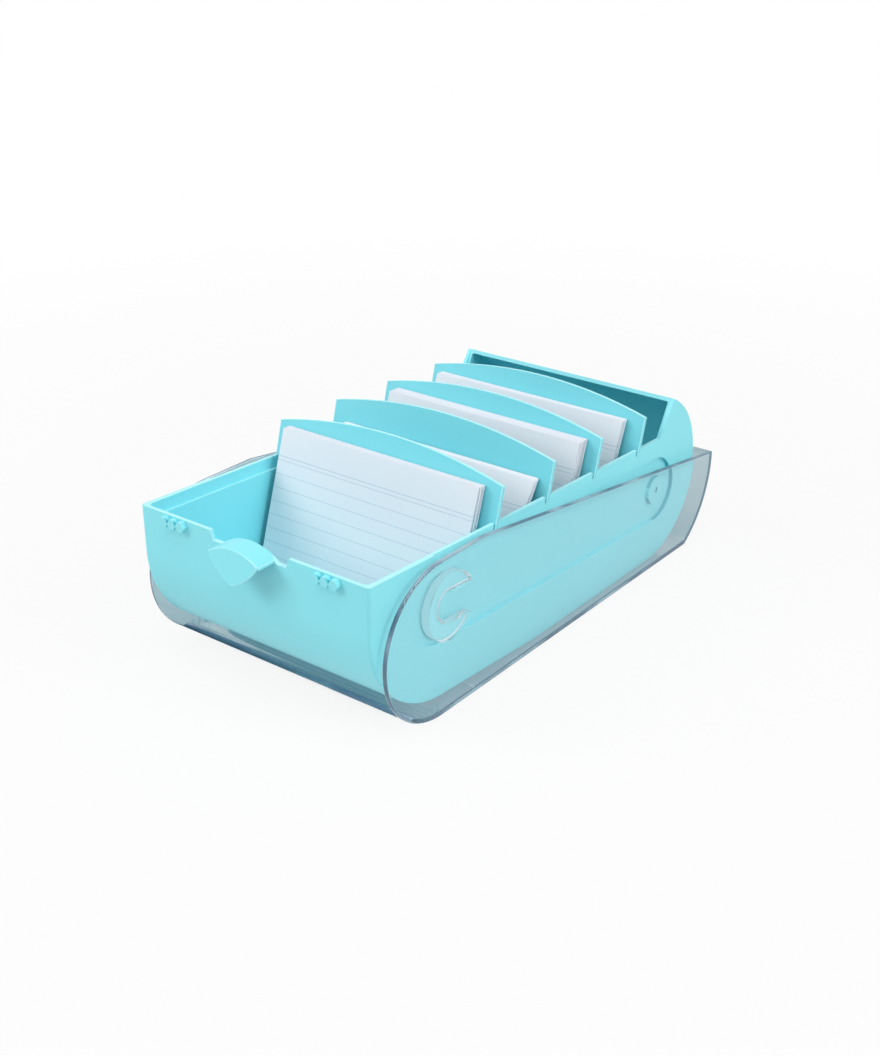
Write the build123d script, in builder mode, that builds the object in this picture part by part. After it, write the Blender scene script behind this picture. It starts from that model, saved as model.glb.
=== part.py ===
import os
from math import asin, cos, radians, sin, sqrt, tan

from build123d import *

# Cards, in the small standard size
card_width = 105.0
card_height = 74.0
card_sheet = 0.4
card_gap = 0.05
front_card_gap = 0.3
stack_sheets = (9, 7, 14, 8)
card_side_slip = 0.25

# Side walls, from the cards outwards
card_side_room = 3.5
track_back = 1.1
track_depth = 1.8
rim_wall = 1.6
rim_band = 5.3
cheek_step = 0.8
lid_side_gap = 1.9
lid_wall = 1.9

# Lid, seen from the side
lid_plate = 2.0
lid_front_set = 4.0
lid_end_radius = 34.0
lid_flat_top = 28.0
lid_wrap_height = 6.5
lid_rear_room = 11.7
lid_rear_sweep = 46.2
lid_rear_angle = 58.0
lid_rear_lip = 2.5
lid_edge_round = 0.8
score_set = 22.0
score_width = 0.8
score_depth = 0.4

# Tray, seen from the side
seat_gap = 0.4
tray_wall = 1.8
tray_length = 241.0
front_depth = 68.4
rim_slope = 2.55
nose_sweep = 44.0
nose_lift = 3.8
nose_run = 63.0
rear_low_sweep = 41.5
rear_top_sweep = 37.0
back_top_angle = 65.6
back_rise_run = 12.0
tray_round = 1.6
hollow_round = 1.0
band_round = 2.5
panel_room = 1.0

# Track, boss and ring, the sliding joint between lid and tray
track_front_set = 45.5
track_front_room = 5.0
track_drop = 23.4
boss_rear_set = 36.0
track_slope = 2.9
track_radius = 15.2
ring_play = 0.6
ring_floor_gap = 0.4
boss_radius = 6.5
boss_dimple = 1.4
boss_dimple_depth = 0.7
mouth_play = 0.3
hole_play = 0.4

# Floor ribs, falling to the rear
rib_lift = 2.74
rib_rear_lift = 0.2
rib_width = 1.6
rib_pitch = 20.0
rib_pairs = 2

# Dividers
divider_count = 4
divider_first = 78.4
divider_rear_room = 53.1
divider_lean = 15.5
divider_thick = 2.0
divider_arch = 7.2
divider_round = 4.0
divider_side_gap = 0.5
divider_foot_gap = 2.0
ear_height = 15.2
ear_overhang = 0.5
ear_sink = 2.8
slot_front_gap = 0.6
slot_rear_gap = 0.3
slot_floor_gap = 0.3

# How much of its foot room each stack takes, its place across the tray, and its gaps
foot_shares = (0.12, 0.755, 0.209, 0.305)
foot_clearance = 2.0
stack_shifts = (-0.8, 1.5, 0.6, -1.2)
stack_back_gap = 0.4
stack_stand_gap = 0.3

# Finger notch, pull tab and catch wedges on the front wall
notch_width = 38.0
notch_flare = 1.5
notch_depth = 3.9
tab_reach = 9.0
tab_half = 13.0
tab_rise = 0.9
tab_radius = 24.4
tab_length = 11.0
tab_tilt = 8.0
tab_belly = 0.7
tab_belly_drop = 0.46
tab_wall = 1.1
tab_nose = 1.0
catch_set = 40.0
catch_pitch = 4.4
catch_waist = 4.6
catch_ends = 2.0
catch_height = 4.2
catch_drop = 0.5
catch_reach = 2.4

# Widths that follow, as halves
pad_half = card_width / 2 + card_side_room
track_half = pad_half + track_back
panel_half = track_half + track_depth
rim_inner = panel_half - rim_wall
tray_half = panel_half + cheek_step
lid_inner = tray_half + lid_side_gap
lid_half = lid_inner + lid_wall

# Lengths that follow
track_run = tray_length - boss_rear_set - track_front_set
track_length = track_run / cos(radians(track_slope))
divider_pitch = (tray_length - divider_rear_room - divider_first) / (divider_count - 1)

# Heights that follow
tray_bottom = lid_plate + seat_gap
rim_front = tray_bottom + front_depth
rim_fall = tan(radians(rim_slope))
nose_bottom = tray_bottom + nose_lift
slope_end = nose_sweep + nose_run
rear_z = tray_bottom + rear_low_sweep
rear_low_y = tray_length - rear_low_sweep
rear_top_y = tray_length - rear_top_sweep
floor_top = tray_bottom + tray_wall
rib_front_top = nose_bottom + tray_wall + rib_lift
rib_rear_top = floor_top + rib_rear_lift
rib_fall = (rib_front_top - rib_rear_top) / (rear_low_y - nose_sweep)
seat_depth = rim_front - nose_sweep * rim_fall - rib_front_top
back_cos = cos(radians(back_top_angle))
back_sin = sin(radians(back_top_angle))

# The origin is the middle of the whole length, on the table
lid_rear = tray_length + lid_rear_room
tab_out = tab_reach + tab_length * sin(radians(tab_tilt))
front_y = (tab_out - lid_rear) / 2
side = Plane(origin=(0, front_y, 0), x_dir=(0, 1, 0), z_dir=(1, 0, 0))
front = Plane(origin=(0, front_y, 0), x_dir=(1, 0, 0), z_dir=(0, -1, 0))

# Track line from the ring's rest place to the boss
track_front = (track_front_set, rim_front - track_front_set * rim_fall - track_drop)
track_y = cos(radians(track_slope))
track_z = -sin(radians(track_slope))
boss = (track_front[0] + track_length * track_y, track_front[1] + track_length * track_z)
track_end = (track_front[0] - track_front_room * track_y, track_front[1] - track_front_room * track_z)
track_mid = ((track_end[0] + boss[0]) / 2, (track_end[1] + boss[1]) / 2)
ring_radius = track_radius - ring_play

os.makedirs("parts", exist_ok=True)


def rim_at(y):
    return rim_front - y * rim_fall


# Lid: side outline, hollow, rings
end_y = lid_front_set + lid_end_radius
flat_y = end_y + lid_flat_top
lid_top = 2 * lid_end_radius
sweep_y = lid_rear - lid_rear_sweep
sweep_z = lid_rear_sweep * sin(radians(lid_rear_angle))
plate_end = sweep_y + lid_rear_sweep * cos(radians(lid_rear_angle))
half_angle = radians(lid_rear_angle) / 2
hollow_radius = lid_end_radius - lid_plate
hollow_sweep = lid_rear_sweep - lid_wall
hollow_front = end_y - sqrt(hollow_radius ** 2 - (lid_end_radius - lid_wrap_height) ** 2)
hollow_mid = (hollow_front + end_y) / 2
hollow_end = sweep_y + sqrt(hollow_sweep ** 2 - (sweep_z - lid_plate) ** 2)
clear_top = lid_top + lid_end_radius

with BuildPart() as lid:
    with BuildSketch(side):
        with BuildLine():
            ThreePointArc((end_y, 0), (lid_front_set, lid_end_radius), (end_y, lid_top))
            Polyline((end_y, lid_top), (flat_y, lid_top), (lid_rear, sweep_z + lid_rear_lip), (lid_rear, sweep_z))
            ThreePointArc(
                (lid_rear, sweep_z),
                (sweep_y + lid_rear_sweep * cos(half_angle), sweep_z - lid_rear_sweep * sin(half_angle)),
                (plate_end, 0),
            )
            Line((plate_end, 0), (end_y, 0))
        make_face()
    extrude(amount=lid_half, both=True)
    fillet(lid.faces().sort_by(Axis.X)[0].edges() + lid.faces().sort_by(Axis.X)[-1].edges(), lid_edge_round)
    with BuildSketch(side):
        with BuildLine():
            ThreePointArc(
                (hollow_front, lid_wrap_height),
                (hollow_mid, lid_end_radius - sqrt(hollow_radius ** 2 - (end_y - hollow_mid) ** 2)),
                (end_y, lid_plate),
            )
            Line((end_y, lid_plate), (hollow_end, lid_plate))
            ThreePointArc(
                (hollow_end, lid_plate),
                (sweep_y + hollow_sweep * cos(half_angle), sweep_z - hollow_sweep * sin(half_angle)),
                (sweep_y + hollow_sweep, sweep_z),
            )
            Polyline(
                (sweep_y + hollow_sweep, sweep_z),
                (sweep_y + hollow_sweep, clear_top),
                (-lid_end_radius, clear_top),
                (-lid_end_radius, lid_wrap_height),
                (hollow_front, lid_wrap_height),
            )
        make_face()
    extrude(amount=lid_inner, both=True, mode=Mode.SUBTRACT)
    with BuildSketch(side):
        with Locations((end_y + score_set, lid_plate)):
            Rectangle(score_width, 2 * score_depth)
    extrude(amount=lid_inner, both=True, mode=Mode.SUBTRACT)
    for hand in (-1, 1):
        with BuildSketch(side.offset(hand * lid_inner)):
            with Locations(track_front):
                Circle(ring_radius)
                Circle(boss_radius + hole_play, mode=Mode.SUBTRACT)
                Rectangle(
                    2 * ring_radius,
                    2 * (boss_radius + mouth_play),
                    rotation=-track_slope,
                    align=(Align.MIN, Align.CENTER),
                    mode=Mode.SUBTRACT,
                )
        extrude(amount=-hand * (lid_inner - track_half - ring_floor_gap))

lid.part.label = "lid"
export_step(lid.part, "parts/lid.step")

# Tray: hollow of the inside
nose_z = nose_bottom + nose_sweep
nose_in = nose_sweep - tray_wall
low_in = rear_low_sweep - tray_wall
top_in = rear_top_sweep - tray_wall
half = sqrt(0.5)
back_half = radians(back_top_angle) / 2
back_top = (rear_top_y + rear_top_sweep * back_cos, rear_z + rear_top_sweep * back_sin)
clear_back = (rear_top_y + 2 * rear_top_sweep * back_cos, rear_z + 2 * rear_top_sweep * back_sin)

with BuildPart() as hollow:
    with BuildSketch(side):
        with BuildLine():
            ThreePointArc(
                (nose_sweep, nose_bottom + tray_wall),
                (nose_sweep - nose_in * half, nose_z - nose_in * half),
                (tray_wall, nose_z),
            )
            Polyline((slope_end, floor_top), (nose_sweep, nose_bottom + tray_wall))
            Line((rear_low_y, floor_top), (slope_end, floor_top))
            ThreePointArc(
                (rear_low_y, floor_top),
                (rear_low_y + low_in * half, rear_z - low_in * half),
                (rear_low_y + low_in, rear_z),
            )
            ThreePointArc(
                (rear_top_y + top_in, rear_z),
                (rear_top_y + top_in * cos(back_half), rear_z + top_in * sin(back_half)),
                (rear_top_y + top_in * back_cos, rear_z + top_in * back_sin),
            )
            Polyline(
                (rear_top_y + top_in * back_cos, rear_z + top_in * back_sin),
                clear_back,
                (tray_wall, clear_back[1]),
                (tray_wall, nose_z),
            )
        make_face()
    extrude(amount=pad_half, both=True)
    fillet(
        hollow.faces().sort_by(Axis.X)[0].edges().sort_by(Axis.Z)[:-2]
        + hollow.faces().sort_by(Axis.X)[-1].edges().sort_by(Axis.Z)[:-2],
        hollow_round,
    )

# Tray: wider hollow above a band below the rim, where the wall is thin
with BuildPart() as band:
    with BuildSketch(side):
        with BuildLine():
            rise_y = back_top[0] - back_rise_run
            Polyline(
                (tray_wall, rim_at(tray_wall) - rim_band),
                (rise_y, rim_at(rise_y) - rim_band),
                (rear_top_y + top_in * back_cos, rear_z + top_in * back_sin),
                clear_back,
                (tray_wall, clear_back[1]),
                close=True,
            )
        make_face()
    extrude(amount=rim_inner, both=True)
    fillet(band.edges().filter_by(Axis.Z).sort_by(Axis.Y)[:2], band_round)

# Tray: outlines of the pull tab
tab_top = rim_front + tab_rise
tab_centre = tab_top - tab_radius
tab_shoulder = tab_centre + sqrt(tab_radius ** 2 - tab_half ** 2)
shield = Plane(
    origin=(0, front_y - tab_reach, tab_shoulder),
    x_dir=(1, 0, 0),
    z_dir=(0, -cos(radians(tab_tilt)), sin(radians(tab_tilt))),
)
shield_top = tab_top - tab_shoulder
belly = (tab_belly * tab_half, -tab_belly_drop * tab_length)

# Tray: body, then everything cut from it and set on it
slot_wide = divider_thick + slot_front_gap + slot_rear_gap
lean = radians(divider_lean)
slot_middle = slot_wide / 2 - slot_front_gap
catch_top = rim_front - catch_drop
far_up = 4 * rim_front

with BuildPart() as tray:
    with BuildSketch(side):
        with BuildLine():
            ThreePointArc(
                (nose_sweep, nose_bottom),
                (nose_sweep - nose_sweep * half, nose_z - nose_sweep * half),
                (0, nose_z),
            )
            Polyline((0, nose_z), (0, rear_z + rear_top_sweep), (rear_top_y, rear_z + rear_top_sweep))
            ThreePointArc(
                (rear_top_y, rear_z + rear_top_sweep),
                (rear_top_y + rear_top_sweep * half, rear_z + rear_top_sweep * half),
                (tray_length, rear_z),
            )
            ThreePointArc(
                (tray_length, rear_z),
                (rear_low_y + rear_low_sweep * half, rear_z - rear_low_sweep * half),
                (rear_low_y, tray_bottom),
            )
            Polyline((rear_low_y, tray_bottom), (slope_end, tray_bottom), (nose_sweep, nose_bottom))
        make_face()
    extrude(amount=tray_half, both=True)
    fillet(
        tray.faces().sort_by(Axis.X)[0].edges().sort_by(Axis.Z)[:-1]
        + tray.faces().sort_by(Axis.X)[-1].edges().sort_by(Axis.Z)[:-1],
        tray_round,
    )
    # Rim, with the rise to the back
    with BuildSketch(side):
        with BuildLine():
            Polyline(
                (-tray_wall, rim_at(-tray_wall)),
                (rise_y, rim_at(rise_y)),
                back_top,
                clear_back,
                (-tray_wall, clear_back[1]),
                close=True,
            )
        make_face()
    extrude(amount=2 * tray_half, both=True, mode=Mode.SUBTRACT)
    add(hollow.part, mode=Mode.SUBTRACT)
    add(band.part, mode=Mode.SUBTRACT)
    # Panel that takes the lid's side walls, track, boss
    for hand in (-1, 1):
        with BuildSketch(side.offset(hand * panel_half)):
            with Locations((end_y, lid_end_radius)):
                Circle(lid_end_radius + panel_room)
                Rectangle(tray_length, far_up, align=(Align.MIN, Align.CENTER))
        extrude(amount=hand * tray_half, mode=Mode.SUBTRACT)
        with BuildSketch(side.offset(hand * track_half)):
            with Locations(track_mid):
                SlotCenterToCenter(track_length + track_front_room, 2 * track_radius, rotation=-track_slope)
        extrude(amount=hand * tray_half, mode=Mode.SUBTRACT)
        with BuildSketch(side.offset(hand * track_half)):
            with Locations(boss):
                Circle(boss_radius)
        extrude(amount=hand * track_depth)
        with BuildSketch(side.offset(hand * panel_half)):
            with Locations(boss):
                Circle(boss_dimple)
        extrude(amount=-hand * boss_dimple_depth, mode=Mode.SUBTRACT)
    # Floor ribs
    for step in range(-rib_pairs, rib_pairs + 1):
        with BuildSketch(side.offset(step * rib_pitch)):
            with BuildLine():
                Polyline(
                    (nose_sweep, nose_bottom + tray_wall / 2),
                    (slope_end, tray_bottom + tray_wall / 2),
                    (rear_low_y, tray_bottom + tray_wall / 2),
                    (rear_low_y, rib_rear_top),
                    (nose_sweep, rib_front_top),
                    close=True,
                )
            make_face()
        extrude(amount=rib_width / 2, both=True)
    # Rim notches for the dividers
    with BuildSketch(side):
        for place in range(divider_count):
            y = divider_first + place * divider_pitch
            with Locations((y + slot_middle / cos(lean), rim_at(y))):
                Rectangle(slot_wide, 2 * (ear_sink + slot_floor_gap), rotation=-divider_lean)
    extrude(amount=2 * tray_half, both=True, mode=Mode.SUBTRACT)
    # Finger notch in the front rim
    with BuildSketch(front):
        with BuildLine():
            Polyline(
                (-notch_width / 2, rim_front - notch_depth),
                (notch_width / 2, rim_front - notch_depth),
                (notch_width / 2 + 2 * notch_flare, rim_front + notch_depth),
                (-notch_width / 2 - 2 * notch_flare, rim_front + notch_depth),
                close=True,
            )
        make_face()
    extrude(amount=-2 * tray_wall, mode=Mode.SUBTRACT)
    # Pull tab: arched wall in the notch, roof in front of it, pointed shield at the end
    with BuildSketch(front):
        with Locations((0, tab_centre)):
            Circle(tab_radius)
        with Locations((0, rim_front - notch_depth)):
            Rectangle(4 * tab_radius, 2 * tab_radius, align=(Align.CENTER, Align.MIN), mode=Mode.INTERSECT)
    extrude(amount=-tray_wall)
    with BuildSketch(front.offset(-tray_wall / 2)):
        with Locations((0, tab_centre)):
            Circle(tab_radius)
            Circle(tab_radius - tab_wall, mode=Mode.SUBTRACT)
        with Locations((0, tab_centre)):
            Rectangle(2 * tab_half, 2 * tab_radius, align=(Align.CENTER, Align.MIN), mode=Mode.INTERSECT)
    extrude(amount=tray_wall / 2 + tab_reach - tab_wall / 2)
    with BuildSketch(shield) as shield_face:
        with BuildLine():
            ThreePointArc((-tab_half, 0), (0, shield_top), (tab_half, 0))
            ThreePointArc((tab_half, 0), belly, (0, -tab_length))
            ThreePointArc((0, -tab_length), (-belly[0], belly[1]), (-tab_half, 0))
        make_face()
        fillet(shield_face.vertices().sort_by(Axis.Z)[:1], tab_nose)
    extrude(amount=-tab_wall)
    # Catch wedges, in two rows of three
    for hand in (-1, 1):
        for step in (-1, 0, 1):
            x = hand * catch_set + step * catch_pitch
            with BuildSketch(front):
                with BuildLine():
                    Polyline(
                        (x - catch_ends / 2, catch_top),
                        (x + catch_ends / 2, catch_top),
                        (x + catch_waist / 2, catch_top - catch_height / 2),
                        (x + catch_ends / 2, catch_top - catch_height),
                        (x - catch_ends / 2, catch_top - catch_height),
                        (x - catch_waist / 2, catch_top - catch_height / 2),
                        close=True,
                    )
                make_face()
            extrude(amount=catch_reach)

tray.part.label = "tray"
export_step(tray.part, "parts/tray.step")

# Dividers, hung in the rim notches
head_half = panel_half + ear_overhang
body_half = pad_half - divider_side_gap
drop = (seat_depth - divider_foot_gap) / cos(lean)

for place in range(divider_count):
    y = divider_first + place * divider_pitch
    leaning = Plane(
        origin=(0, front_y + y, rim_at(y)), x_dir=(1, 0, 0), z_dir=(0, -cos(lean), sin(lean))
    )
    with BuildPart() as divider:
        with BuildSketch(leaning):
            with BuildLine():
                ThreePointArc((-head_half, ear_height), (0, ear_height + divider_arch), (head_half, ear_height))
                Polyline(
                    (head_half, ear_height),
                    (head_half, -ear_sink),
                    (body_half, -ear_sink),
                    (body_half, -drop),
                    (-body_half, -drop),
                    (-body_half, -ear_sink),
                    (-head_half, -ear_sink),
                    (-head_half, ear_height),
                )
            make_face()
        extrude(amount=-divider_thick)
        fillet(divider.edges().filter_by(Axis(leaning.origin, leaning.z_dir)).sort_by(Axis.Z)[:2], divider_round)
    divider.part.label = f"divider_{place + 1}"
    export_step(divider.part, f"parts/divider_{place + 1}.step")

# Cards: each stands on the ribs, and each stack leans on its divider
stand_front = rib_front_top + nose_sweep * rib_fall + stack_stand_gap

for place in range(divider_count):
    y = divider_first + place * divider_pitch
    stack_thick = stack_sheets[place] * (card_sheet + card_gap) + front_card_gap
    foot_room = divider_pitch - (divider_thick + stack_thick) / cos(lean) - foot_clearance
    stack_lean = lean + asin(foot_shares[place] * foot_room * cos(lean) / card_height)
    reach = stand_front + card_height * cos(stack_lean) - rim_at(y)
    back_y = (y + reach * tan(lean) - stack_back_gap / cos(lean) - card_height * sin(stack_lean)) / (
        1 + rib_fall * tan(lean)
    )
    for number in range(stack_sheets[place]):
        spacing = (number + 1) * card_sheet + number * card_gap
        if number == stack_sheets[place] - 1:
            spacing = spacing - card_gap + front_card_gap
        face_y = back_y - spacing / cos(stack_lean)
        sheet = Plane(
            origin=(
                stack_shifts[place] + card_side_slip * sin(2.4 * number),
                front_y + face_y,
                stand_front - face_y * rib_fall,
            ),
            x_dir=(1, 0, 0),
            z_dir=(0, -cos(stack_lean), sin(stack_lean)),
        )
        with BuildPart() as card:
            with BuildSketch(sheet):
                Rectangle(card_width, card_height, align=(Align.CENTER, Align.MIN))
            extrude(amount=-card_sheet)
        name = f"card_{place + 1}_{number + 1:02d}"
        card.part.label = name
        export_step(card.part, f"parts/{name}.step")
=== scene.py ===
import math
import random

import bmesh
import bpy
from mathutils import Matrix, Vector
from mathutils.bvhtree import BVHTree


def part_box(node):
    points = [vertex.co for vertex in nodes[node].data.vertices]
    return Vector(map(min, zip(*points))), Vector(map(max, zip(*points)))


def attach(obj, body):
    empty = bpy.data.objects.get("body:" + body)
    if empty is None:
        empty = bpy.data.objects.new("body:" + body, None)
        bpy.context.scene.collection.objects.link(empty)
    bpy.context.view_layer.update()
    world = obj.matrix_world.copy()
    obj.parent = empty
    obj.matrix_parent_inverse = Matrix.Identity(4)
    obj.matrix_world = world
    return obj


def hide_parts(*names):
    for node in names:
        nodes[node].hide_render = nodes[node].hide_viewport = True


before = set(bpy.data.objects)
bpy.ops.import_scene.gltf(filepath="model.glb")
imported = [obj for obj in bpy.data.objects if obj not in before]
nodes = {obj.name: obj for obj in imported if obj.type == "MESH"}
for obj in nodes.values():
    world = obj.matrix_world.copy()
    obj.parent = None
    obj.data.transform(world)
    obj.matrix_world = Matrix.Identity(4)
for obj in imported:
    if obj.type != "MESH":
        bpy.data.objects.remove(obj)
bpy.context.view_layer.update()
scene = bpy.context.scene
scene.view_settings.view_transform = "Standard"
slips = random.Random(7)

# Lid: walls, plate, rings, turned-up lip with its ridges, and how far out its edges are rounded
lid_wall = 0.0019
lid_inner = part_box("lid")[1][0] - lid_wall
sheet_depth = 0.0021
plate_top = 0.00205
ring_floor = 0.012
ring_play = 0.0001
lip_height = 0.0065
lip_play = 0.0002
lip_back = 0.0178
lip_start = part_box("lid")[0][1] + lip_back
lip_deep = 0.016
ridge_pitch = 0.0034
lid_rounding = 0.0006
rounded_wall = 0.001
rounded_to = lid_inner + rounded_wall

# Tray and dividers: pull tab in front of the wall, rim's painted highlight, reach of painted shade, rounded
# edges
tab_reach = 0.0107
front_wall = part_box("tray")[0][1] + tab_reach
tab_half = 0.021
tab_rounding = 0.0003
rim_low = 0.05
rim_end = 0.085
painted_shade_reach = 0.03
divider_rounding = 0.0003

# Cards: two sheets in each solid, and the most that a sheet slips
card_wide = 0.105
card_tall = 0.074
sheet_thick = 0.00019
sheet_pitch = 0.0002
sheet_set = 0.0001
side_trim = 0.0004
top_trim = 0.0003
side_slip = 0.0002
down_slip = 0.0001

# Ruling, in millimetres down the card
card_mm = 1000 * card_tall
head_line = 12.0
rows_start = 13.0
first_row = 13.8
row_pitch = 6.0
line_half = 0.1

# Merging distance, how far off a side a ray starts, and what counts as flat, sharp or turned one way
weld = 0.000002
just_off = 0.00002
flat_angle = math.radians(0.4)
sharp_angle = math.radians(40)
upward = 0.8
facing = 0.9
sideways = 0.95

# Order of the finishes on an aqua moulding and on the lid, most of them painted highlight, light or shade
plain_tone, rim_painted_highlight, inside_painted_light, groove_painted_shade = range(4)
lid_sheet, lid_edge_painted_shade, lid_ring, lid_line_painted_highlight, lid_lip_painted_shade = range(5)


# Shader sums: a wire is a socket that takes part in arithmetic
class Wire:
    def __init__(self, tree, socket=None):
        self.tree = tree
        self.socket = socket

    def node(self, kind, settings, inputs, out=0):
        made = self.tree.nodes.new(kind)
        for name, value in settings.items():
            setattr(made, name, value)
        for name, value in inputs.items():
            if isinstance(value, Wire):
                self.tree.links.new(value.socket, made.inputs[name])
            else:
                made.inputs[name].default_value = value
        return Wire(self.tree, made.outputs[out] if made.outputs else None)

    def sum(self, operation, first, second):
        return self.node("ShaderNodeMath", {"operation": operation}, {0: first, 1: second})

    def __add__(self, other):
        return self.sum("ADD", self, other)

    def __radd__(self, other):
        return self.sum("ADD", other, self)

    def __sub__(self, other):
        return self.sum("SUBTRACT", self, other)

    def __rsub__(self, other):
        return self.sum("SUBTRACT", other, self)

    def __mul__(self, other):
        return self.sum("MULTIPLY", self, other)

    def __rmul__(self, other):
        return self.sum("MULTIPLY", other, self)

    def __truediv__(self, other):
        return self.sum("DIVIDE", self, other)

    def __mod__(self, other):
        return self.sum("FLOORED_MODULO", self, other)

    def __abs__(self):
        return self.sum("ABSOLUTE", self, 0.0)

    def over(self, edge):
        return self.sum("GREATER_THAN", self, edge)

    def at_most(self, other):
        return self.sum("MINIMUM", self, other)

    def at_least(self, other):
        return self.sum("MAXIMUM", self, other)

    def clamp(self):
        return self.at_least(0.0).at_most(1.0)

    def noise(self, scale, detail=2.0):
        return self.node("ShaderNodeTexNoise", {}, {"Vector": self, "Scale": scale, "Detail": detail})

    def blend(self, low, high):
        low = (*low, 1.0) if isinstance(low, tuple) else low
        return self.node("ShaderNodeMix", {"data_type": "RGBA"}, {"Factor": self, 6: low, 7: (*high, 1.0)}, 2)

    def bump(self, strength, distance):
        return self.node("ShaderNodeBump", {}, {"Height": self, "Strength": strength, "Distance": distance})

    def along(self, axis):
        return self.node("ShaderNodeSeparateXYZ", {}, {"Vector": self}, axis)

    def light_path(self, question):
        return self.node("ShaderNodeLightPath", {}, {}, question)

    def mix(self, share, first, second):
        return self.node("ShaderNodeMixShader", {}, {"Fac": share, 1: first, 2: second})

    def matt(self, colour):
        return self.node("ShaderNodeBsdfDiffuse", {}, {"Color": (*colour, 1.0)})

    def glow(self, colour):
        return self.node("ShaderNodeEmission", {}, {"Color": (*colour, 1.0), "Strength": 1.0})

    def plastic(self, body):
        return self.node("ShaderNodeBsdfPrincipled", {}, body)

    def surface(self, shader):
        self.node("ShaderNodeOutputMaterial", {}, {"Surface": shader})


def new_finish(name):
    finish = bpy.data.materials.new(name)
    finish.use_nodes = True
    finish.node_tree.nodes.clear()
    start = Wire(finish.node_tree)
    place = start.node("ShaderNodeTexCoord", {}, {}, "Object")
    return finish, start, place


# Satin aqua plastic with a fine moulded grain
def aqua_finish(name, deep, pale):
    finish, start, place = new_finish(name)
    cloud = place.noise(18.0, 3.0)
    grain = place.noise(2600.0, 1.0)
    flow = place.noise(70.0, 2.0)
    body = {
        "Base Color": cloud.blend(deep, pale),
        "Roughness": 0.4 + 0.1 * flow,
        "Normal": (grain + 2.0 * flow).bump(0.12, 0.00004),
        "IOR": 1.5,
    }
    start.surface(start.plastic(body))
    return finish


# Clear plastic: lets lamplight through, glows a painted slate where a ray runs too deep, and has ridges
# behind the lip
def clear_finish(name, bending, clearness):
    finish, start, place = new_finish(name)
    ripple = place.noise(28.0, 1.0)
    tint = place.noise(9.0).blend((0.965, 0.98, 0.985), (0.98, 0.99, 0.995))
    behind = place.along("Y") - lip_start
    near_lip = behind.over(0.0) * (1.0 - behind.over(lip_deep)) * (1.0 - place.along("Z").over(lip_height))
    ridge = (abs((behind / ridge_pitch) % 1.0 - 0.5) * 5.0 - 1.0).clamp()
    body = {
        "Base Color": (near_lip * ridge).blend(tint, (0.66, 0.86, 0.9)),
        "Roughness": 0.02 + 0.02 * place.noise(160.0),
        "Normal": ripple.bump(0.05, 0.0004),
        "IOR": bending,
        "Transmission Weight": clearness,
    }
    pass_through = start.node("ShaderNodeBsdfTransparent", {}, {"Color": (0.98, 0.985, 0.99, 1.0)})
    lighting = start.light_path("Is Shadow Ray").at_least(start.light_path("Is Diffuse Ray"))
    sheet = start.mix(lighting, start.plastic(body), pass_through)
    # Painted glow: deeper than five and a half bounces the plastic glows slate instead of going black
    deep_ray_glow_mask = start.light_path("Ray Depth").over(5.5)
    start.surface(start.mix(deep_ray_glow_mask, sheet, start.glow((0.09, 0.19, 0.26))))
    return finish


# Cut edge of the clear plastic: opaque, painted shade and highlight in streaks, in place of how a sheet looks
# end on
def clear_edge_finish(name, dark, pale):
    finish, start, place = new_finish(name)
    streak = ((place.noise(38.0, 2.0) - 0.4) * 5.0).clamp()
    body = {
        "Base Color": streak.blend(dark, pale),
        "Roughness": 0.12 + 0.1 * place.noise(160.0),
        "Normal": streak.bump(0.05, 0.0004),
        "IOR": 1.49,
    }
    start.surface(start.plastic(body))
    return finish


# White card with a head line and pale rows, on the face's own map
def card_finish():
    finish, start, place = new_finish("ruled_card")
    face = start.node("ShaderNodeUVMap", {"uv_map": "card"}, {})
    down = (1.0 - face.along("Y")) * card_mm
    off_row = abs((down - first_row + row_pitch / 2) % row_pitch - row_pitch / 2)
    rows = (1.0 - (off_row - line_half) / line_half).clamp() * down.over(rows_start)
    head = (1.0 - (abs(down - head_line) - line_half) / line_half).clamp()
    ink = (0.75 * rows + head * 0.9).clamp()
    fibre = place.noise(1400.0, 3.0)
    cloud = place.noise(40.0, 2.0)
    white = cloud.blend((0.765, 0.8, 0.86), (0.8, 0.83, 0.88))
    body = {
        "Base Color": ink.blend(white, (0.47, 0.57, 0.68)),
        "Roughness": 0.75 + 0.1 * fibre,
        "Normal": fibre.bump(0.1, 0.00004),
        "Specular IOR Level": 0.25,
    }
    start.surface(start.plastic(body))
    return finish


def new_piece(name, shape, finishes, body, stands_for):
    mesh = bpy.data.meshes.new(name)
    shape.to_mesh(mesh)
    shape.free()
    piece = bpy.data.objects.new(name, mesh)
    scene.collection.objects.link(piece)
    for finish in finishes:
        mesh.materials.append(finish)
    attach(piece, body)
    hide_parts(*stands_for)
    return piece


# Solid's own shape, with its loose triangles merged
def own_shape(node):
    shape = bmesh.new()
    shape.from_mesh(nodes[node].data)
    bmesh.ops.remove_doubles(shape, verts=shape.verts, dist=weld)
    return shape


# Flat stretches of one finish become one side
def join_flat(shape):
    bmesh.ops.dissolve_limit(shape, angle_limit=flat_angle, verts=shape.verts, edges=shape.edges,
                             delimit={"MATERIAL"})


def sharp_edges(shape):
    between_two = [edge for edge in shape.edges if len(edge.link_faces) == 2]
    return [edge for edge in between_two if edge.calc_face_angle() > sharp_angle]


# Outer edges to be rounded, by the shares of the two finishes that meet, and inner corners left crisp
def mark_edges(shape, shares):
    weight = shape.edges.layers.float.new("bevel_weight_edge")
    for edge in sharp_edges(shape):
        share = sum(shares[side.material_index] for side in edge.link_faces)
        edge[weight] = min(share, 1.0) if edge.is_convex else 0.0
        edge.smooth = edge[weight] > 0.0
    return weight


def shade_evenly(piece):
    even = piece.modifiers.new("even_shading", "WEIGHTED_NORMAL")
    even.keep_sharp = True
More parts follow.
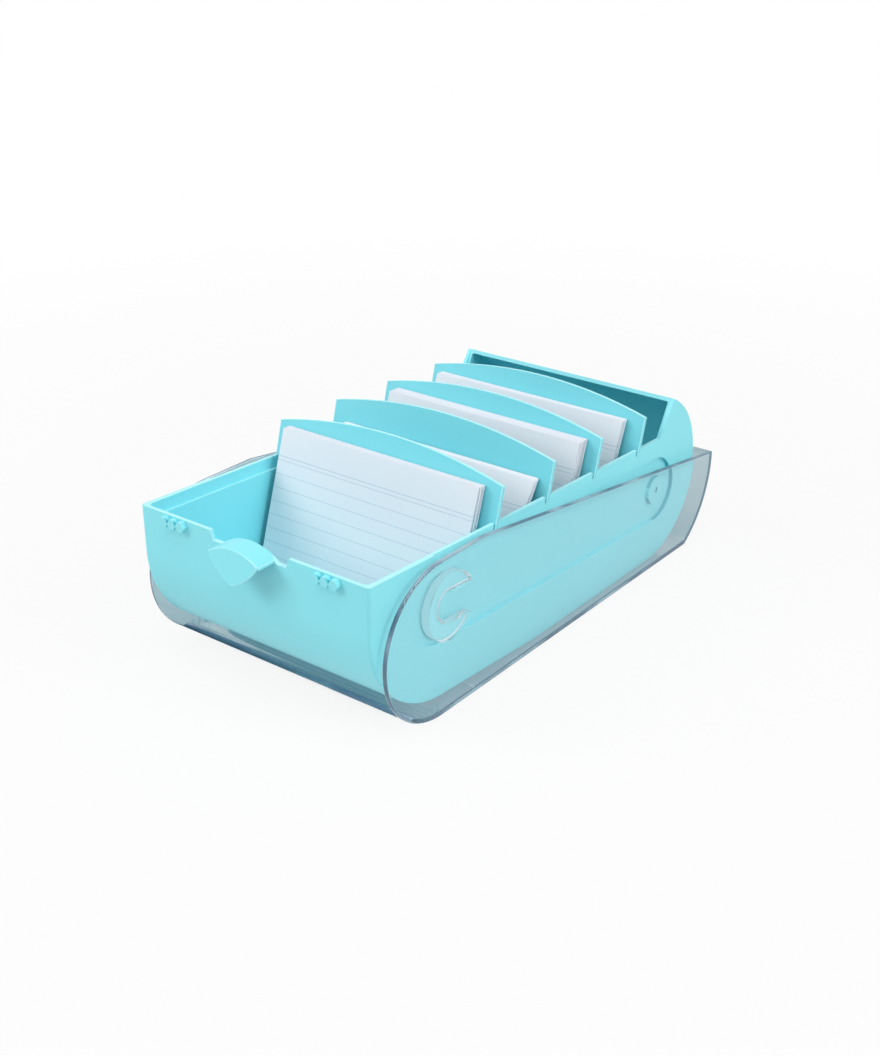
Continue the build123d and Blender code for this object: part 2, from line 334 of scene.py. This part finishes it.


# Marked edges rounded as a mould leaves them, in a finish of their own: a painted highlight
def round_edges(piece, rounding, finish_number):
    edge = piece.modifiers.new("rounded_edges", "BEVEL")
    edge.width = rounding
    edge.segments = 2
    edge.limit_method = "WEIGHT"
    edge.miter_outer = "MITER_ARC"
    edge.use_clamp_overlap = False
    edge.material = finish_number
    shade_evenly(piece)


# Aqua moulding: painted highlight facing up, painted shade where it looks at itself near by, painted light
# from afar
def aqua_shape(node, loose):
    shape = own_shape(node)
    itself = BVHTree.FromBMesh(shape)
    for side in shape.faces:
        side.smooth = True
        spot = side.calc_center_median() + side.normal * just_off
        hit = itself.ray_cast(spot, side.normal)
        if hit[0]:
            # A side that looks at itself near by gets painted shade; one that looks from afar gets painted
            # light
            side.material_index = groove_painted_shade if hit[3] < painted_shade_reach else inside_painted_light
        # Sides facing up near the rim get a painted highlight, a paler aqua
        elif side.normal.z > upward and (loose or spot.z > rim_low and front_wall < spot.y < rim_end):
            side.material_index = rim_painted_highlight
    join_flat(shape)
    bmesh.ops.connect_verts_concave(shape, faces=shape.faces)
    return shape


# Pull tab: a fine round along its outer edges, with a painted highlight
def round_tab(shape):
    around = []
    for edge in sharp_edges(shape):
        middle = (edge.verts[0].co + edge.verts[1].co) / 2
        if edge.is_convex and middle.y < front_wall and abs(middle.x) < tab_half:
            around.append(edge)
    made = bmesh.ops.bevel(shape, geom=around, offset=tab_rounding, offset_type="OFFSET", affect="EDGES",
                           segments=2, profile=0.5, material=-1)
    for side in made["faces"]:
        side.material_index = rim_painted_highlight
        side.smooth = True


# Tray: crisp edges, apart from the tab's
def tray(finishes):
    shape = aqua_shape("tray", False)
    round_tab(shape)
    for edge in sharp_edges(shape):
        edge.smooth = False
    shade_evenly(new_piece("tray_moulded", shape, finishes, "tray_body", ["tray"]))


# Divider: a loose plate with rounded edges under a painted highlight
def divider(number, finishes):
    node = f"divider_{number}"
    shape = aqua_shape(node, True)
    mark_edges(shape, {plain_tone: 1.0, rim_painted_highlight: 1.0, inside_painted_light: 0.0, groove_painted_shade: 0.0})
    piece = new_piece(node + "_moulded", shape, finishes, f"divider_body_{number}", [node])
    round_edges(piece, divider_rounding, rim_painted_highlight)


# Lid: clear sheet, sides that look along it and lip in painted shade, rings, rounded edges in painted
# highlight, each with its finish
def lid(finishes):
    shape = own_shape("lid")
    all_of_it = shape.verts[:] + shape.edges[:] + shape.faces[:]
    bmesh.ops.bisect_plane(shape, geom=all_of_it, plane_co=(0.0, 0.0, plate_top), plane_no=(0.0, 0.0, 1.0))
    inside = BVHTree.FromBMesh(shape)
    for side in shape.faces:
        side.smooth = True
        spot = side.calc_center_median()
        hit = inside.ray_cast(spot - side.normal * just_off, -side.normal)
        deep = hit[0] and hit[3] > sheet_depth
        if abs(spot.x) < lid_inner - ring_play and spot.z > ring_floor and spot.y < 0.0:
            side.material_index = lid_ring
        # The lip's top side gets painted shade, an opaque slate blue
        elif abs(spot.z - lip_height) < lip_play and side.normal.z > facing:
            side.material_index = lid_lip_painted_shade
        # Sides that look along the sheet get painted shade
        elif deep and (abs(side.normal.x) < sideways or spot.z < plate_top):
            side.material_index = lid_edge_painted_shade
    join_flat(shape)
    weight = mark_edges(shape, {lid_sheet: 0.25, lid_edge_painted_shade: 0.25, lid_ring: 0.5, lid_lip_painted_shade: 0.25})
    for edge in shape.edges:
        if edge[weight] > 0.0 and max(abs(end.co.x) for end in edge.verts) > rounded_to:
            edge[weight] = 0.0
            edge.smooth = False
    piece = new_piece("lid_moulded", shape, finishes, "lid_body", ["lid"])
    # The lid's rounded edges carry a painted highlight
    round_edges(piece, lid_rounding, lid_line_painted_highlight)


# Card's own axes: across, back and up, from its lower front edge
def card_axes(node):
    points = {(round(v.co.y, 6), round(v.co.z, 6)) for v in nodes[node].data.vertices}
    low = sorted(sorted(points, key=lambda p: p[1])[:2])
    foot = Vector((0.0, *low[0]))
    across = Vector((1.0, 0.0, 0.0))
    back = (Vector((0.0, *low[1])) - foot).normalized()
    xs = [v.co.x for v in nodes[node].data.vertices]
    foot.x = (min(xs) + max(xs)) / 2
    axes = Matrix((across, back, across.cross(back))).transposed().to_4x4()
    return Matrix.Translation(foot) @ axes


# Cards: two sheets for each solid, slipped a little, ruled on the front
def cards(name, stack, finish, body):
    shape = bmesh.new()
    face_map = shape.loops.layers.uv.new("card")
    size = Matrix.Diagonal((card_wide - side_trim, sheet_thick, card_tall - top_trim, 1.0))
    half_up = Matrix.Translation((0.0, 0.0, card_tall / 2))
    for node in stack:
        axes = card_axes(node)
        front = -axes.to_3x3().col[1]
        for half in range(2):
            aside = slips.uniform(-side_slip, side_slip)
            sunk = slips.uniform(-down_slip, 0.0)
            foot = axes @ Matrix.Translation((aside, sheet_set + half * sheet_pitch, sunk + sheet_set))
            made = bmesh.ops.create_cube(shape, size=1.0, matrix=foot @ half_up @ size)
            for side in {f for v in made["verts"] for f in v.link_faces}:
                side.normal_update()
                ruled = side.normal.dot(front) > facing
                for corner in side.loops:
                    spot = foot.inverted() @ corner.vert.co
                    corner[face_map].uv = (spot.x / card_wide + 0.5, spot.z / card_tall if ruled else 1.0)
    new_piece(name, shape, [finish], body, stack)


aqua = aqua_finish("aqua_plastic", (0.235, 0.75, 0.83), (0.255, 0.78, 0.86))
# Brighter copy of the aqua: painted light on inner walls that look at each other from afar
aqua_inside_painted_light = aqua_finish("aqua_inside_painted_light", (0.23, 0.79, 0.88), (0.25, 0.82, 0.91))
# Paler copy of the aqua: painted highlight on the rim and rounded edges
aqua_rim_painted_highlight = aqua_finish("aqua_rim_painted_highlight", (0.38, 0.82, 0.87), (0.43, 0.85, 0.9))
# Deeper copy of the aqua: painted shade in grooves and gaps
aqua_painted_shade = aqua_finish("aqua_painted_shade", (0.06, 0.5, 0.6), (0.08, 0.54, 0.64))
aqua_divider = aqua_finish("aqua_divider", (0.185, 0.68, 0.77), (0.205, 0.71, 0.8))
clear = clear_finish("clear_plastic", 1.49, 1.0)
clear_ring = clear_finish("clear_ring", 1.05, 0.9)
# Painted shade on the lid's sides seen along the sheet
clear_edge_painted_shade = clear_edge_finish("clear_edge_painted_shade", (0.09, 0.17, 0.25), (0.3, 0.45, 0.53))
# Painted highlight on the lid's rounded edges
clear_line_painted_highlight = clear_edge_finish("clear_line_painted_highlight", (0.55, 0.7, 0.75), (0.75, 0.86, 0.89))
# Painted shade on the lip's top side
clear_lip_painted_shade = clear_edge_finish("clear_lip_painted_shade", (0.3, 0.38, 0.55), (0.4, 0.52, 0.66))
paper = card_finish()

# The tray takes painted highlight, light and shade; the dividers take only the painted highlight
tray([aqua, aqua_rim_painted_highlight, aqua_inside_painted_light, aqua_painted_shade])
lid([clear, clear_edge_painted_shade, clear_ring, clear_line_painted_highlight, clear_lip_painted_shade])
for number in range(1, 5):
    divider(number, [aqua_divider, aqua_rim_painted_highlight, aqua_divider, aqua_divider])
    stack = sorted(name for name in nodes if name.startswith(f"card_{number}_"))
    cards(f"stack_{number}", stack[:-1], paper, f"stack_body_{number}")
    cards(f"front_card_{number}", stack[-1:], paper, f"front_card_body_{number}")


# Turned from its place towards another
def turned(spot, towards):
    return (Vector(towards) - Vector(spot)).to_track_quat("-Z", "Y")


# Camera, at the photograph's angle
camera_spot = (0.3716, -0.4844, 0.3234)
camera_aim = (0.008044, -0.012442, 0.038954)
camera_data = bpy.data.cameras.new("camera")
camera_data.sensor_width = 36.0
camera_data.lens = 51.57
camera = bpy.data.objects.new("camera", camera_data)
scene.collection.objects.link(camera)
camera.location = camera_spot
camera.rotation_mode = "QUATERNION"
camera.rotation_quaternion = turned(camera_spot, camera_aim)
scene.camera = camera


# World: plain white to look at, mirrored or through the lid, softer as light
sky_light = 0.43
world = bpy.data.worlds.new("studio")
scene.world = world
world.use_nodes = True
world.node_tree.nodes.clear()
sky = Wire(world.node_tree)
shown = sky.light_path("Is Camera Ray").at_least(sky.light_path("Is Glossy Ray"))
shown = shown.at_least(sky.light_path("Is Transmission Ray"))
shine = {"Color": (1.0, 1.0, 1.0, 1.0), "Strength": sky_light + (1.0 - sky_light) * shown}
sky.node("ShaderNodeOutputWorld", {}, {"Surface": sky.node("ShaderNodeBackground", {}, shine)})


floor_half = 4.0
floor_drop = 0.0002
near_white = 0.88
fade_start = 0.25
fade_width = 0.4
lamp_aim = (0.0, 0.0, 0.04)


# Floor's finish: white to the camera, more so further out, grey blue through the lid, half of it a painted
# glow, with soft shadow
def floor_finish():
    finish, start, place = new_finish("floor")
    aside = start.node("ShaderNodeVectorMath", {"operation": "LENGTH"}, {0: place}, "Value")
    white = near_white + (1.0 - near_white) * ((aside - fade_start) / fade_width).clamp()
    shown = start.light_path("Is Camera Ray").at_least(start.light_path("Is Glossy Ray"))
    bright = start.mix(shown * white, start.matt((0.72, 0.72, 0.72)), start.glow((1.0, 1.0, 1.0)))
    # Through the lid: half a lit grey table, half a painted grey-blue glow standing in for aqua bounce light
    grey_and_painted_glow = start.mix(0.5, start.matt((0.6, 0.58, 0.56)), start.glow((0.23, 0.48, 0.58)))
    start.surface(start.mix(start.light_path("Is Transmission Ray"), bright, grey_and_painted_glow))
    return finish


# Floor: a pale table just under the object
def pale_floor():
    shape = bmesh.new()
    under = Matrix.Translation((0.0, 0.0, -floor_drop))
    bmesh.ops.create_grid(shape, x_segments=1, y_segments=1, size=floor_half, matrix=under)
    mesh = bpy.data.meshes.new("floor")
    shape.to_mesh(mesh)
    shape.free()
    mesh.materials.append(floor_finish())
    floor = bpy.data.objects.new("floor", mesh)
    scene.collection.objects.link(floor)


# Lamp: a soft disk turned to the object
def soft_lamp(name, spot, size, power):
    data = bpy.data.lights.new(name, "AREA")
    data.shape = "DISK"
    data.size = size
    data.energy = power
    lamp = bpy.data.objects.new(name, data)
    scene.collection.objects.link(lamp)
    lamp.location = spot
    lamp.rotation_mode = "QUATERNION"
    lamp.rotation_quaternion = turned(spot, lamp_aim)


pale_floor()
soft_lamp("left_key", (-0.9, -1.05, 0.95), 1.0, 11.7)
soft_lamp("right_fill", (1.3, 0.1, 0.9), 0.9, 10.6)
soft_lamp("top_fill", (0.15, -0.45, 1.6), 0.9, 7.5)
